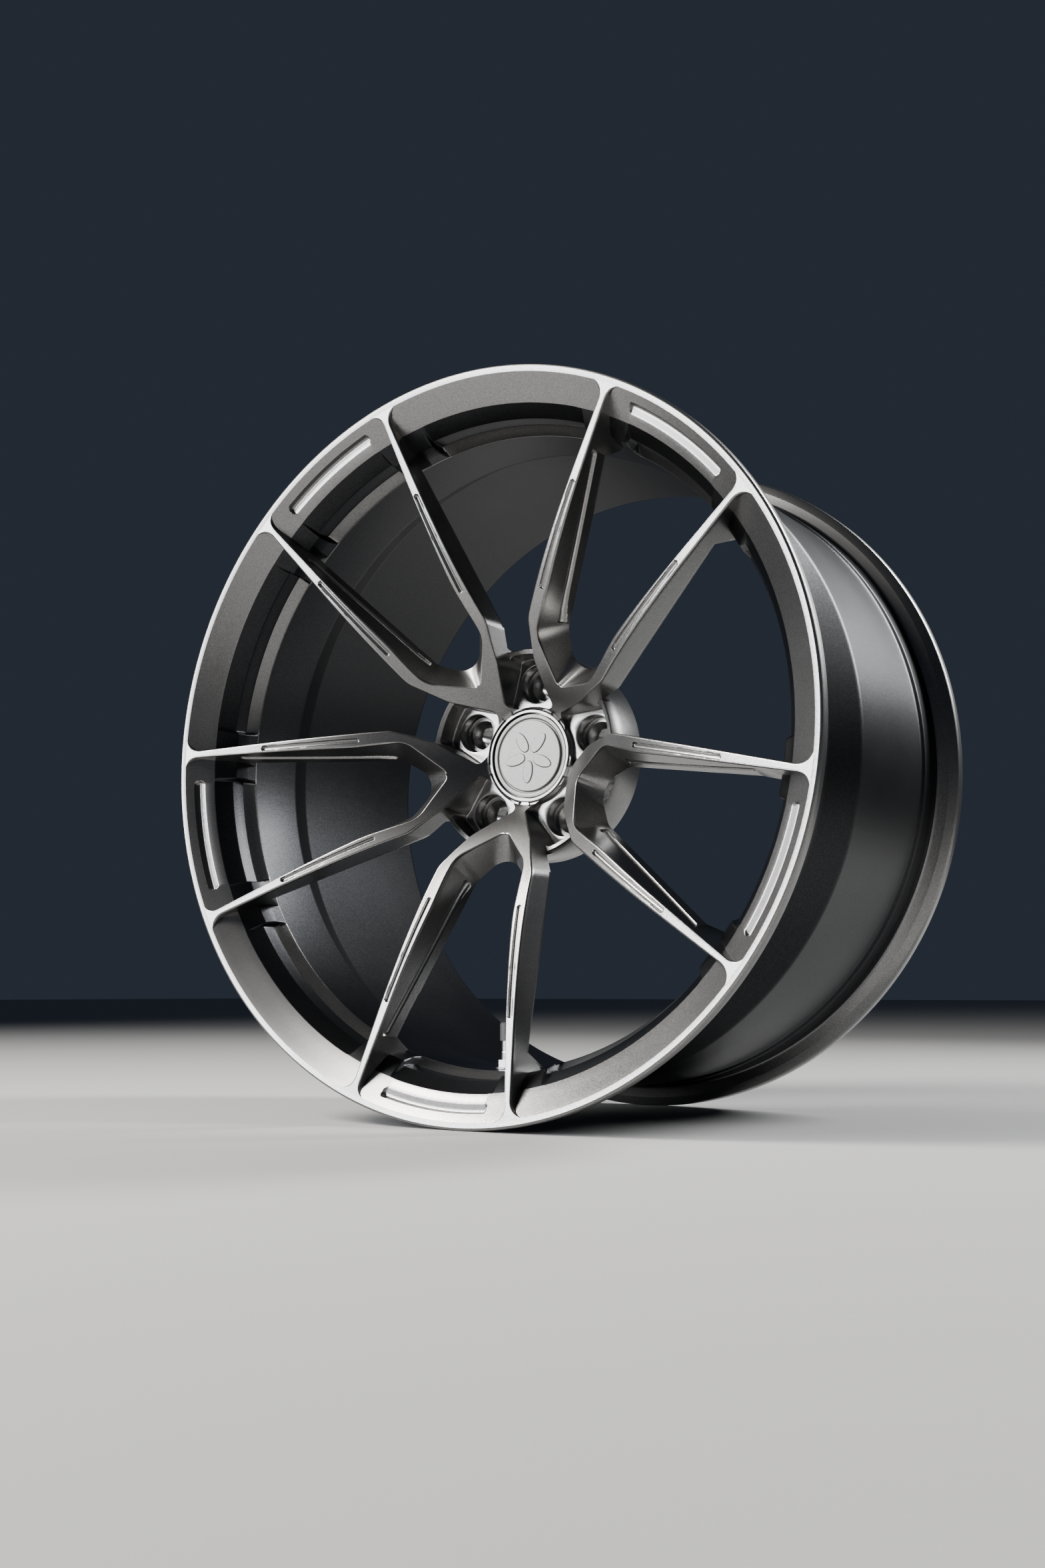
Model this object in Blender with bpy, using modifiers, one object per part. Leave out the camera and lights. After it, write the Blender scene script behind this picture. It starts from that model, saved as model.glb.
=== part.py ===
"""Forged racing wheel, 20 inch by 10.5 inch, with five twin-arm spokes.

The wheel stands upright. +Z is up and +Y runs along the axle towards the vehicle,
so the styled face looks along -Y. The origin is the centre of the hub's mounting face.
Lengths are in millimetres and MM turns them into Blender's metres. A depth is measured
from the plane of the front lip towards the vehicle, and a radius from the axle.
"""
import math

import bmesh
import bpy
import numpy as np
from mathutils import Matrix, Vector

MM = 0.001
GAP = 0.3                # clearance between pieces that touch

# Rim
RIM_R = 273.7            # radius over both flanges
RIM_WIDTH = 292.7        # over both flanges: a 10.5 inch rim
FACE_DEPTH = 130.35      # lip plane to hub mounting face
BEAD_R = 256.4           # bead seat
WELL_R = 238.5           # outside of the drop well
WALL = 4.0               # barrel wall at the well
RIM_STEPS = 60           # flats round the rim
LIP_INNER = (1.8, 268.3)     # depth and radius where the lip's flat turns into the cone wall
CONE_END = (14.0, 249.3)     # cone wall
SKIRT_WALL = (27.1, 241.4)   # start of the undercut behind the cone
UNDERCUT = (38.3, 240.6)     # end of the undercut
WELL_START = (47.0, WELL_R - WALL)
WELL_FRONT = 54.0        # where the drop well's zone starts and ends
WELL_REAR = 126.0

# Spokes
SPOKES = 5
PHASE = -30.33           # first spoke, degrees clockwise from straight up, seen from the front
TRUNK_R = 38.6           # where a spoke starts, just outside the hub's ring
TIP_R = 266.8            # where an arm runs out on the lip
FOOT_GAP = 0.65          # radial gap from an arm's foot to the barrel, more than a flat's sagitta
FOOT_START_R = 224.0
EDGE = 1.2               # chamfer along a spoke's front edges
BACK_CONE = (112.7, 68.3, 0.358)   # radius and depth of a point on the spokes' back, and its slope

# Hub
HUB_R = 80.0             # mounting disc
RING_OUT_R = 37.9        # raised ring round the cap
RING_BORE_R = 34.6
RING_DEPTH = 93.4
CAP_SEAT_DEPTH = 99.5    # shoulder that the cap's rim sits on
CAP_BORE_R = 30.6
HUB_BORE_R = 37.5        # rear bore, which holds the centring ring
HUB_BORE_DEPTH = 112.5
SPIGOT_R = 33.3          # bore of the centring ring: a 66.6 mm spigot
HUB_STEPS = 60
POCKET_DEPTH = 98.3      # floor of the pockets between the spokes
POCKET_OUT_R = 76.3      # inside of the web that joins two spokes
BOLT_CIRCLE_R = 56.0     # 5 holes on 112 mm
NUT_POCKET_R = 14.9
NUT_SEAT_DEPTH = 110.0
SEAT_CONE_R = 11.5
STUD_HOLE_R = 7.2

# Valve, straight down in the drop well
VALVE_DEPTH = 64.0
VALVE_HOLE_R = 5.75


# The barrel's inner wall, which an arm's foot follows from the well out to the lip
INNER_WALL = [WELL_START, UNDERCUT, SKIRT_WALL, CONE_END]
FOOT_RADII = [r - FOOT_GAP for depth, r in INNER_WALL]
FOOT_DEPTHS = [depth - 0.5 for depth, r in INNER_WALL]


def face_depth(r):
    """Depth of the spokes' front surface: a hyperbola, steep at the hub and flat at the lip."""
    return 16500.0 / (r + 81.0) - 45.5


def back_depth(r):
    """Depth of the spokes' back: a cone, then the foot that follows the barrel's inner wall."""
    at, depth, slope = BACK_CONE
    cone = depth - slope * (r - at)
    foot = np.interp(r, [FOOT_START_R, *FOOT_RADII, TIP_R], [depth - slope * (FOOT_START_R - at), *FOOT_DEPTHS, 2.35])
    return np.where(np.asarray(r) < FOOT_START_R, cone, foot)


def spoke_angle(k):
    """Direction of spoke k in radians, clockwise from straight up."""
    return math.radians(PHASE + 360.0 / SPOKES * k)


# ---------------------------------------------------------------- scene, materials, helpers

for old in list(bpy.data.objects):
    bpy.data.objects.remove(old)

parts = bpy.data.collections.new("racing_wheel")
cutters = bpy.data.collections.new("cutters")
cutters.hide_render = True
for collection in (parts, cutters):
    bpy.context.scene.collection.children.link(collection)


def finish(name, colour, roughness, metallic):
    """A plain surface: colour, roughness and metal."""
    material = bpy.data.materials.new(name)
    material.use_nodes = True
    shader = material.node_tree.nodes["Principled BSDF"]
    shader.inputs["Base Color"].default_value = (*colour, 1.0)
    shader.inputs["Roughness"].default_value = roughness
    shader.inputs["Metallic"].default_value = metallic
    return material


SATIN = finish("satin_silver", (0.42, 0.42, 0.41), 0.38, 0.85)
CAP_SATIN = finish("cap_silver", (0.46, 0.46, 0.45), 0.42, 0.7)
BARE = finish("machined_aluminium", (0.62, 0.62, 0.63), 0.3, 1.0)
NYLON = finish("ring_plastic", (0.05, 0.05, 0.055), 0.55, 0.0)
STEEL = finish("spring_steel", (0.5, 0.5, 0.52), 0.3, 1.0)
BRASS = finish("brass", (0.7, 0.52, 0.25), 0.32, 1.0)
RUBBER = finish("rubber", (0.02, 0.02, 0.02), 0.7, 0.0)


def new_object(name, mesh, material, collection=parts):
    """An object in a collection, with its material, hidden and drawn as wire if it is a cutter."""
    obj = bpy.data.objects.new(name, mesh)
    if material:
        mesh.materials.append(material)
    collection.objects.link(obj)
    if collection is cutters:
        obj.hide_render = True
        obj.display_type = "WIRE"
    return obj


def turned(name, outline, steps, material=None, collection=parts, ring=True):
    """A turned piece from (height, radius) points that go up the inside, out over the top,
    and down the outer side. A ring's outline closes on itself; any other starts and ends on the axis."""
    mesh = bpy.data.meshes.new(name)
    points = [(r * MM, 0.0, h * MM) for h, r in outline]
    edges = [(i, i + 1) for i in range(len(points) - 1)]
    if ring:
        edges.append((len(points) - 1, 0))
    mesh.from_pydata(points, edges, [])
    obj = new_object(name, mesh, material, collection)
    turn = obj.modifiers.new("Turn", "SCREW")
    turn.angle = 2 * math.pi
    turn.steps = steps
    turn.render_steps = steps
    turn.use_merge_vertices = True
    turn.merge_threshold = 0.00001
    turn.use_smooth_shade = False
    return obj


def wheel_turned(name, outline, steps, material=None, collection=parts, ring=True):
    """A turned piece on the axle, from (depth, radius) points that start at the front of its bore,
    go out over the front face and back along the outer side."""
    heights = [(FACE_DEPTH - depth, r) for depth, r in outline]
    obj = turned(name, heights, steps, material, collection, ring)
    obj.rotation_euler = (math.pi / 2, 0.0, 0.0)
    return obj


def cut(obj, cutter):
    """Takes the cutter away from the object."""
    boolean = obj.modifiers.new("Cut " + cutter.name, "BOOLEAN")
    boolean.operation = "DIFFERENCE"
    boolean.solver = "EXACT"
    boolean.object = cutter


# ---------------------------------------------------------------- rim barrel


def make_barrel():
    """The barrel's three zones: the outer rim with the lip and front bead seat, the drop well,
    and the inner rim with the rear bead seat and flange."""
    front, rear = WELL_FRONT, RIM_WIDTH
    tube_r = BEAD_R - 2.2
    wheel_turned("outer_rim", [
        LIP_INNER, (0.0, 270.6), (0.8, 272.9), (2.8, RIM_R), (8.0, RIM_R), (10.6, 272.8),
        (13.2, 266.5), (13.4, 262.0), (14.8, 258.6), (20.0, BEAD_R), (35.0, BEAD_R - 0.8),
        (48.0, WELL_R + 2.0), (53.0, WELL_R), (front - GAP, WELL_R), (front - GAP, WELL_R - WALL), *INNER_WALL,
    ], RIM_STEPS, SATIN)
    well = wheel_turned("drop_well", [
        (front, WELL_R - WALL), (front, WELL_R), (96.0, WELL_R), (124.0, tube_r), (WELL_REAR - GAP, tube_r),
        (WELL_REAR - GAP, tube_r - WALL), (122.0, tube_r - WALL), (97.0, WELL_R - WALL),
    ], RIM_STEPS, SATIN)
    wheel_turned("inner_rim", [
        (WELL_REAR, tube_r - WALL), (WELL_REAR, tube_r), (rear - 42.0, tube_r), (rear - 38.5, BEAD_R + 0.6),
        (rear - 34.5, BEAD_R - 0.8), (rear - 20.0, BEAD_R), (rear - 14.8, 258.6), (rear - 13.2, 266.5),
        (rear - 10.6, 272.8), (rear - 8.0, RIM_R), (rear - 1.4, RIM_R), (rear, 272.3), (rear, 266.0),
        (rear - 3.0, 262.5), (rear - 13.0, BEAD_R - 4.2),
    ], RIM_STEPS, SATIN)
    hole = turned("valve_hole_cutter", [(30.0, 0.0), (30.0, VALVE_HOLE_R), (-30.0, VALVE_HOLE_R), (-30.0, 0.0)],
                  24, None, cutters, ring=False)
    hole.location = valve_origin()
    cut(well, hole)


def valve_origin():
    """Where the valve's axis leaves the drop well's inner wall."""
    return Vector((0.0, (VALVE_DEPTH - FACE_DEPTH) * MM, -(WELL_R - WALL) * MM))


# ---------------------------------------------------------------- spokes


def rounded_path(corners, steps=4):
    """Points along straight lines whose corners are rounded. Each corner is (x, z, radius);
    an arc of that radius touches both lines, with steps + 1 points on it."""
    points = [np.array(corners[0][:2])]
    for before, here, after in zip(corners, corners[1:], corners[2:]):
        p, q, s = (np.array(c[:2], float) for c in (before, here, after))
        into = (q - p) / np.linalg.norm(q - p)
        out = (s - q) / np.linalg.norm(s - q)
        turn = math.atan2(into[0] * out[1] - into[1] * out[0], into @ out)
        reach = here[2] * math.tan(abs(turn) / 2)
        start = q - into * reach
        side = math.copysign(1.0, turn)
        centre = start + side * here[2] * np.array([-into[1], into[0]])
        for i in range(steps + 1):
            angle = turn * i / steps
            arm = start - centre
            points.append(centre + np.array([arm[0] * math.cos(angle) - arm[1] * math.sin(angle),
                                             arm[0] * math.sin(angle) + arm[1] * math.cos(angle)]))
    points.append(np.array(corners[-1][:2]))
    return np.array(points)


# The right half of a spoke seen from the front: x to the side and z out along the spoke.
# Inner edges border the window between the arms, and outer edges face the next spoke.
INNER_EDGE = rounded_path([(0.0, 62.0, 0), (1.5, 62.0, 2.0), (30.9, 83.2, 15), (35.2, 121.0, 150), (66.6, 270.0, 0)])
OUTER_EDGE = rounded_path([(5.4, TRUNK_R, 0), (5.2, 43.5, 6), (25.6, 63.6, 25), (41.6, 89.4, 18), (47.4, 126.0, 200),
                           (71.2, 270.0, 0)])
INNER_BACK = rounded_path([(0.0, 82.3, 0), (2.0, 82.3, 3.0), (22.0, 99.0, 12), (64.5, 270.0, 0)])


def edge_point(edge, r):
    """The point of an edge at radius r from the axle. Every edge's radius grows along it."""
    radii = np.hypot(edge[:, 0], edge[:, 1])
    dense = np.linspace(0.0, len(edge) - 1.0, 40 * len(edge))
    index = np.arange(len(edge))
    x = np.interp(dense, index, edge[:, 0])
    z = np.interp(dense, index, edge[:, 1])
    return np.array([np.interp(r, np.hypot(x, z), x), np.interp(r, np.hypot(x, z), z)]) if r > radii[0] else edge[0]


# Radii of the stations along an arm: at the inner edge, the outer edge and the inner back edge.
STATIONS = [(62.0, TRUNK_R, 82.3), (63.4, 43.5, 83.5), (67.0, 47.5, 86.0), (72.0, 53.0, 90.0), (78.5, 60.5, 94.5),
            (85.0, 68.5, 98.5), (89.5, 77.0, 101.5), (95.0, 87.0, 104.5), (101.0, 97.5, 108.0), (112.0, 111.0, 115.0)]
STATIONS += [(r, r, r) for r in (128.0, 155.0, 190.0, FOOT_START_R, *FOOT_RADII, TIP_R)]
FOOT_FLARE = [0.0, 11.0, 11.0, 3.0, 1.0, 0.0]   # how far the foot spreads to each side at the last six stations


def arm_section(at_inner, at_outer, at_back):
    """Six points round one section of the right arm, as (x, depth, z), from the window's side
    over the front to the outer side, then along the back."""
    inner = edge_point(INNER_EDGE, at_inner)
    outer = edge_point(OUTER_EDGE, at_outer)
    back_in = edge_point(INNER_BACK, at_back)
    across = (outer - inner) / np.linalg.norm(outer - inner)
    foot = float(np.interp(at_outer, [FOOT_START_R, *FOOT_RADII, TIP_R], FOOT_FLARE))
    side = across * foot
    back_in = np.minimum(back_in, [inner[0] - 0.2, np.inf]) if at_inner > 63.0 else back_in
    edge = min(EDGE, 0.35 * (float(back_depth(at_outer)) - float(face_depth(at_outer))))

    def front(p, drop=0.0):
        return (p[0], float(face_depth(np.hypot(*p))) + drop, p[1])

    def back(p, r):
        return (p[0], float(back_depth(r)), p[1])

    foot_out = (outer + side) * at_outer / np.linalg.norm(outer + side)
    foot_in = (back_in - side) * np.hypot(*back_in) / np.linalg.norm(back_in - side)
    return [front(inner, edge), front(inner + across * edge), front(outer - across * edge), front(outer, edge),
            back(foot_out, at_outer), back(foot_in, at_back)]


def make_spoke(k):
    """One Y-shaped spoke: a loft from the tip of its left arm through the fork to the tip of its right arm."""
    right = [arm_section(*station) for station in STATIONS]
    left = [[(-x, depth, z) for x, depth, z in section] for section in right[:0:-1]]
    sections = left + right
    mesh = bmesh.new()
    rings = [[mesh.verts.new((x * MM, (depth - FACE_DEPTH) * MM, z * MM)) for x, depth, z in section]
             for section in sections]
    count = len(rings[0])
    for one, two in zip(rings, rings[1:]):
        for i in range(count):
            mesh.faces.new((one[i], one[(i + 1) % count], two[(i + 1) % count], two[i]))
    mesh.faces.new(rings[0][::-1])
    mesh.faces.new(rings[-1])
    bmesh.ops.recalc_face_normals(mesh, faces=mesh.faces)
    data = bpy.data.meshes.new("spoke")
    mesh.to_mesh(data)
    mesh.free()
    spoke = new_object(f"spoke_{k + 1}", data, SATIN)
    spoke.matrix_world = Matrix.Rotation(spoke_angle(k), 4, "Y")
    return spoke


# ---------------------------------------------------------------- hub


def pocket_outline():
    """The floor of one pocket, in a frame whose z runs out through the wheel nut: beside each
    leg a straight wall, along the hub's ring and along the web an arc."""
    half = math.radians(180.0 / SPOKES)
    leg = [(5.9, TRUNK_R - 0.2), (5.7, 43.6), (25.9, 63.3), (30.3, 70.1)]
    right = [(z * math.sin(half) - x * math.cos(half), z * math.cos(half) + x * math.sin(half)) for x, z in leg]
    start = math.atan2(right[0][0], right[0][1])
    stop = math.atan2(right[-1][0], right[-1][1])
    inner = [(TRUNK_R * math.sin(a), TRUNK_R * math.cos(a)) for a in np.linspace(-start, start, 9)[1:-1]]
    outer = [(POCKET_OUT_R * math.sin(a), POCKET_OUT_R * math.cos(a)) for a in np.linspace(stop, -stop, 7)]
    left = [(-x, z) for x, z in right[-2::-1]]
    return inner + right[:-1] + outer + left


def make_pocket_cutter(k):
    """A prism over one pocket's floor, which leaves the web outside it and the ring inside it."""
    top, bottom = FACE_DEPTH - 70.0, FACE_DEPTH - POCKET_DEPTH
    curve = bpy.data.curves.new(f"pocket_cutter_{k + 1}", "CURVE")
    curve.dimensions = "2D"
    curve.fill_mode = "BOTH"
    curve.extrude = (top - bottom) / 2 * MM
    outline = pocket_outline()
    spline = curve.splines.new("POLY")
    spline.points.add(len(outline) - 1)
    for point, (x, z) in zip(spline.points, outline):
        point.co = (x * MM, z * MM, 0.0, 1.0)
    spline.use_cyclic_u = True
    shape = bpy.data.objects.new("pocket_curve", curve)
    cutters.objects.link(shape)
    bpy.context.view_layer.update()
    data = bpy.data.meshes.new_from_object(shape.evaluated_get(bpy.context.evaluated_depsgraph_get()))
    solid = bmesh.new()
    solid.from_mesh(data)
    bmesh.ops.remove_doubles(solid, verts=solid.verts, dist=0.000001)
    bmesh.ops.recalc_face_normals(solid, faces=solid.faces)
    solid.to_mesh(data)
    solid.free()
    bpy.data.objects.remove(shape)
    cutter = new_object(f"pocket_cutter_{k + 1}", data, None, cutters)
    middle = (top + bottom) / 2
    cutter.matrix_world = (Matrix.Rotation(spoke_angle(k + 0.5), 4, "Y")
                           @ Matrix.Translation((0.0, -middle * MM, 0.0))
                           @ Matrix.Rotation(math.pi / 2, 4, "X"))
    return cutter


def make_nut_cutter(k):
    """The nut's bore, its conical seat and the stud hole, as one turned cutter."""
    start = POCKET_DEPTH - 25.0
    cone = NUT_SEAT_DEPTH + (SEAT_CONE_R - STUD_HOLE_R) * math.tan(math.radians(60.0))
    outline = [(start, 0.0), (start, NUT_POCKET_R), (NUT_SEAT_DEPTH, NUT_POCKET_R), (NUT_SEAT_DEPTH, SEAT_CONE_R),
               (cone, STUD_HOLE_R), (FACE_DEPTH + 5.0, STUD_HOLE_R), (FACE_DEPTH + 5.0, 0.0)]
    cutter = wheel_turned(f"nut_cutter_{k + 1}", outline, 32, None, cutters, ring=False)
    angle = spoke_angle(k + 0.5)
    cutter.location = (BOLT_CIRCLE_R * MM * math.sin(angle), 0.0, BOLT_CIRCLE_R * MM * math.cos(angle))
    return cutter


def make_hub():
    """The mounting disc with its ring, bores, pockets, webs and nut seats."""
    outer_cone = float(back_depth(HUB_R)) + GAP
    inner_cone = float(back_depth(RING_OUT_R)) + GAP
    outline = [
        (RING_DEPTH, RING_BORE_R), (RING_DEPTH, RING_OUT_R - 0.8), (RING_DEPTH + 0.8, RING_OUT_R),
        (inner_cone, RING_OUT_R), (outer_cone, HUB_R), (FACE_DEPTH - 5.0, HUB_R), (FACE_DEPTH, HUB_R - 4.0),
        (FACE_DEPTH, HUB_BORE_R + 1.2), (FACE_DEPTH - 1.2, HUB_BORE_R), (HUB_BORE_DEPTH, HUB_BORE_R),
        (HUB_BORE_DEPTH, CAP_BORE_R), (CAP_SEAT_DEPTH, CAP_BORE_R), (CAP_SEAT_DEPTH, RING_BORE_R),
    ]
    hub = wheel_turned("hub", outline, HUB_STEPS, SATIN)
    for k in range(SPOKES):
        cut(hub, make_pocket_cutter(k))
        cut(hub, make_nut_cutter(k))
    return hub


def make_centring_ring():
    """A plastic ring that fills the hub's rear bore down to the vehicle's spigot."""
    front, rear = HUB_BORE_DEPTH + GAP, FACE_DEPTH - 1.5
    out = HUB_BORE_R - GAP
    return wheel_turned("hub_centring_ring", [
        (front, SPIGOT_R), (front, out - 1.0), (front + 1.0, out), (rear, out), (rear, SPIGOT_R + 1.5),
        (rear - 1.5, SPIGOT_R),
    ], 48, NYLON)


# ---------------------------------------------------------------- centre cap

CAP_R = 32.4             # outer rim of the cap
DISC_R = 27.7            # inlaid disc
CAP_FACE = 95.0          # depth of the cap's rim
PLATE = 95.9             # depth of the plate behind the disc
SKIRT_R = 30.1
SKIRT_END = 110.5
WIRE_R = 0.55            # spring wire
WIRE_DEPTH = 106.5


def make_cap():
    """The cap: a rim and plate with a skirt that enters the hub's bore, and what is fitted to it."""
    wheel_turned("centre_cap_body", [
        (PLATE, 0.0), (PLATE, 28.7), (CAP_FACE + 0.4, 29.0), (CAP_FACE, 29.6), (CAP_FACE, CAP_R - 0.8),
        (CAP_FACE + 0.8, CAP_R), (97.6, CAP_R), (97.6, SKIRT_R), (WIRE_DEPTH - 1.0, SKIRT_R),
        (WIRE_DEPTH - 1.0, SKIRT_R - 1.4), (WIRE_DEPTH + 1.0, SKIRT_R - 1.4), (WIRE_DEPTH + 1.0, SKIRT_R),
        (SKIRT_END - 1.0, SKIRT_R), (SKIRT_END, SKIRT_R - 1.0), (SKIRT_END, 26.4), (98.4, 26.4), (98.4, 0.0),
    ], 48, CAP_SATIN, ring=False)
    wheel_turned("centre_cap_disc", [
        (93.6, 0.0), (93.6, DISC_R - 0.5), (94.1, DISC_R), (PLATE - GAP, DISC_R), (PLATE - GAP, 0.0),
    ], 48, CAP_SATIN, ring=False)
    wheel_turned("cap_rubber_ring", [(97.9, 30.8), (97.9, 32.2), (99.2, 32.2), (99.2, 30.8)], 48, RUBBER)
    middle = SKIRT_R - 1.4 + GAP / 2 + WIRE_R + 0.1
    turn = np.radians(np.linspace(15.0, 345.0, 28))
    ring = tube("cap_spring_ring", [(middle * math.sin(a), WIRE_DEPTH - FACE_DEPTH, middle * math.cos(a)) for a in turn],
                WIRE_R, STEEL)
    return ring


def tube(name, points, radius, material):
    """A round bar along points in millimetres, eight sides, with filled ends."""
    curve = bpy.data.curves.new(name, "CURVE")
    curve.dimensions = "3D"
    curve.bevel_depth = radius * MM
    curve.bevel_resolution = 2
    curve.use_fill_caps = True
    spline = curve.splines.new("POLY")
    spline.points.add(len(points) - 1)
    for point, place in zip(spline.points, points):
        point.co = (*(Vector(place) * MM), 1.0)
    return new_object(name, curve, material)


# ---------------------------------------------------------------- valve

STEM_R = 3.85            # threaded end, for an 8 mm valve cap
STEM_TOP = 30.0          # height of the stem's end above the well's inner wall
STEM_BORE_R = 2.7
CORE_R = 2.4
CORE_FROM, CORE_TO = 20.0, 28.0
PIN_R = 0.55
PIN_TRAVEL = 1.5


def on_valve(obj):
    """Moves a piece made at the origin onto the valve's axis, which points straight up."""
    obj.location = valve_origin()
    return obj


def make_valve():
    """The clamp-in valve, from the tyre side to its cap. Heights run up from the well's inner wall."""
    head_top = -WALL - 3.4
    on_valve(turned("valve_stem", [
        (head_top - 2.4, STEM_BORE_R), (STEM_TOP, STEM_BORE_R), (STEM_TOP, STEM_R - 0.5), (STEM_TOP - 0.5, STEM_R),
        (13.0, STEM_R), (12.0, 4.1), (head_top, 4.1), (head_top, 7.6), (head_top - 2.4, 7.6),
    ], 24, BARE))
    grommet_top = -WALL - GAP
    on_valve(turned("valve_grommet", [
        (head_top + GAP, 4.4), (-1.0, 4.4), (-1.0, VALVE_HOLE_R - GAP), (grommet_top, VALVE_HOLE_R - GAP),
        (grommet_top, 8.4), (head_top + GAP, 8.4),
    ], 24, RUBBER))
    on_valve(turned("valve_washer", [(GAP + 0.15, 4.4), (1.4, 4.4), (1.4, 8.2), (GAP + 0.15, 8.2)], 24, BARE))
    nut = on_valve(turned("valve_nut", [(6.9, 0.0), (6.9, 6.9), (1.7, 6.9), (1.7, 0.0)], 6, BARE, ring=False))
    bore = on_valve(turned("nut_bore_cutter", [(9.0, 0.0), (9.0, 4.4), (0.0, 4.4), (0.0, 0.0)], 24, None, cutters,
                           ring=False))
    cut(nut, bore)
    on_valve(turned("valve_core_body", [
        (CORE_FROM, 1.3), (CORE_TO - 1.0, 1.3), (CORE_TO - 1.0, 0.9), (CORE_TO, 0.9), (CORE_TO, CORE_R - 0.4),
        (CORE_TO - 0.4, CORE_R), (CORE_FROM, CORE_R),
    ], 16, BRASS))
    pin_top = STEM_TOP - 0.6
    collar = CORE_TO - 1.0 - GAP
    on_valve(turned("valve_core_pin", [
        (pin_top, 0.0), (pin_top, PIN_R), (collar, PIN_R), (collar, 1.05), (collar - 0.8, 1.05),
        (collar - 0.8, PIN_R), (CORE_FROM - 2.6, PIN_R), (CORE_FROM - 2.6, 1.4), (CORE_FROM - 3.4, 1.4),
        (CORE_FROM - 3.4, 0.0),
    ], 12, BRASS, ring=False))
    on_valve(turned("valve_core_seal", [
        (CORE_FROM - 2.3, 0.8), (CORE_FROM - GAP, 0.8), (CORE_FROM - GAP, 1.9), (CORE_FROM - 2.3, 1.9),
    ], 16, RUBBER))
    spring_from, spring_to = CORE_FROM + 0.6, collar - 0.8 - GAP
    turns, per_turn = 4, 8
    coil = [(0.92 * math.cos(2 * math.pi * i / per_turn), 0.92 * math.sin(2 * math.pi * i / per_turn),
             spring_from + (spring_to - spring_from) * i / (turns * per_turn)) for i in range(turns * per_turn + 1)]
    on_valve(tube("valve_core_spring", coil, 0.13, STEEL)).data.bevel_resolution = 1
    on_valve(turned("valve_cap", [
        (33.6, 0.0), (33.6, 4.2), (32.8, 5.2), (20.6, 5.2), (20.6, 4.15), (31.6, 4.15), (31.6, 0.0),
    ], 24, NYLON, ring=False))
    on_valve(turned("valve_cap_seal", [(30.3, 1.6), (31.3, 1.6), (31.3, 3.8), (30.3, 3.8)], 16, RUBBER))


make_barrel()
for number in range(SPOKES):
    make_spoke(number)
make_hub()
make_centring_ring()
make_cap()
make_valve()
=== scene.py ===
# %% [markdown]
# # A forged racing wheel, surface by surface
#
# This notebook dresses a wheel whose solid parts and joints already exist. It loads them, swaps the
# faceted forging for fine computed surfaces, gives every piece a finish, and lights the result.
#
# The wheel stands upright with the axle along Y, and its styled face looks along -Y. Depths are
# measured from the plane of the front lip towards the vehicle, radii from the axle. Lengths are in
# millimetres until a mesh is made.

# %% Setup
import math

import bmesh
import bpy
import numpy as np
from mathutils import Matrix, Vector


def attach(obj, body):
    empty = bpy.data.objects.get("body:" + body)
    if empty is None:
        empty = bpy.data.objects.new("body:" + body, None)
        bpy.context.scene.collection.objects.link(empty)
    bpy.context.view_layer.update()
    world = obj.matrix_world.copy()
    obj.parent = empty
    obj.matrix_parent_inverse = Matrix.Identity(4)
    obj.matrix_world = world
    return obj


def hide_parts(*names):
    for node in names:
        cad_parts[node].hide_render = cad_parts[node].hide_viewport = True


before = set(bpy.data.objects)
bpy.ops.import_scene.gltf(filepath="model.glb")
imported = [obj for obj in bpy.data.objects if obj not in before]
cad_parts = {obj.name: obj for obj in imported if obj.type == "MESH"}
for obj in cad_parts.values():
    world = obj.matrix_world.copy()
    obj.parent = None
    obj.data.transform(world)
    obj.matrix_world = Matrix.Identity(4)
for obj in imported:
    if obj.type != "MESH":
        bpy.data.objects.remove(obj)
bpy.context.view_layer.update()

MM = 0.001
FACE_DEPTH = 130.35      # lip plane to the hub's mounting face
SPOKES, PITCH = 5, 72.0  # the spokes, and the degrees from one to the next
PHASE = -30.33           # first spoke, degrees clockwise from straight up
RING_DEPTH = 93.4        # front of the ring round the cap
POCKET_DEPTH = 98.3      # floor of the pockets round the wheel nuts
BOLT_CIRCLE_R = 56.0
WHEEL_R = 273.7          # the lip's and the rear flange's outer radius

# %% [markdown]
# ## Helpers for computed surfaces
#
# Almost every surface of a machined wheel is a function of two parameters: one runs round or along
# the piece and one runs across its section. So each piece below is a grid of points from numpy, and
# one helper turns grids into a mesh, welds the seams and marks the sharp edges.

# %% Mesh helpers


def grid_quads(rows, columns, close_rows=False, close_columns=False, start=0):
    """Quads of a grid of points stored row by row. A closed direction joins its last line to its first."""
    r = np.arange(rows if close_rows else rows - 1)
    c = np.arange(columns if close_columns else columns - 1)
    r, c = (a.ravel() for a in np.meshgrid(r, c, indexing="ij"))
    r2, c2 = (r + 1) % rows, (c + 1) % columns
    return start + np.stack([r * columns + c, r * columns + c2, r2 * columns + c2, r2 * columns + c], axis=1)


def to_world(x, depth, z):
    """Points of the wheel's frame in metres: x to the right seen from the front, z up, depth from the lip."""
    return np.stack(np.broadcast_arrays(x, depth - FACE_DEPTH, z), axis=-1) * MM


def turned_about_axle(points, degrees):
    """The points turned clockwise about the axle, as seen from the front."""
    a = math.radians(degrees)
    x, y, z = points[..., 0], points[..., 1], points[..., 2]
    return np.stack([x * math.cos(a) + z * math.sin(a), y, z * math.cos(a) - x * math.sin(a)], axis=-1)


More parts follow.
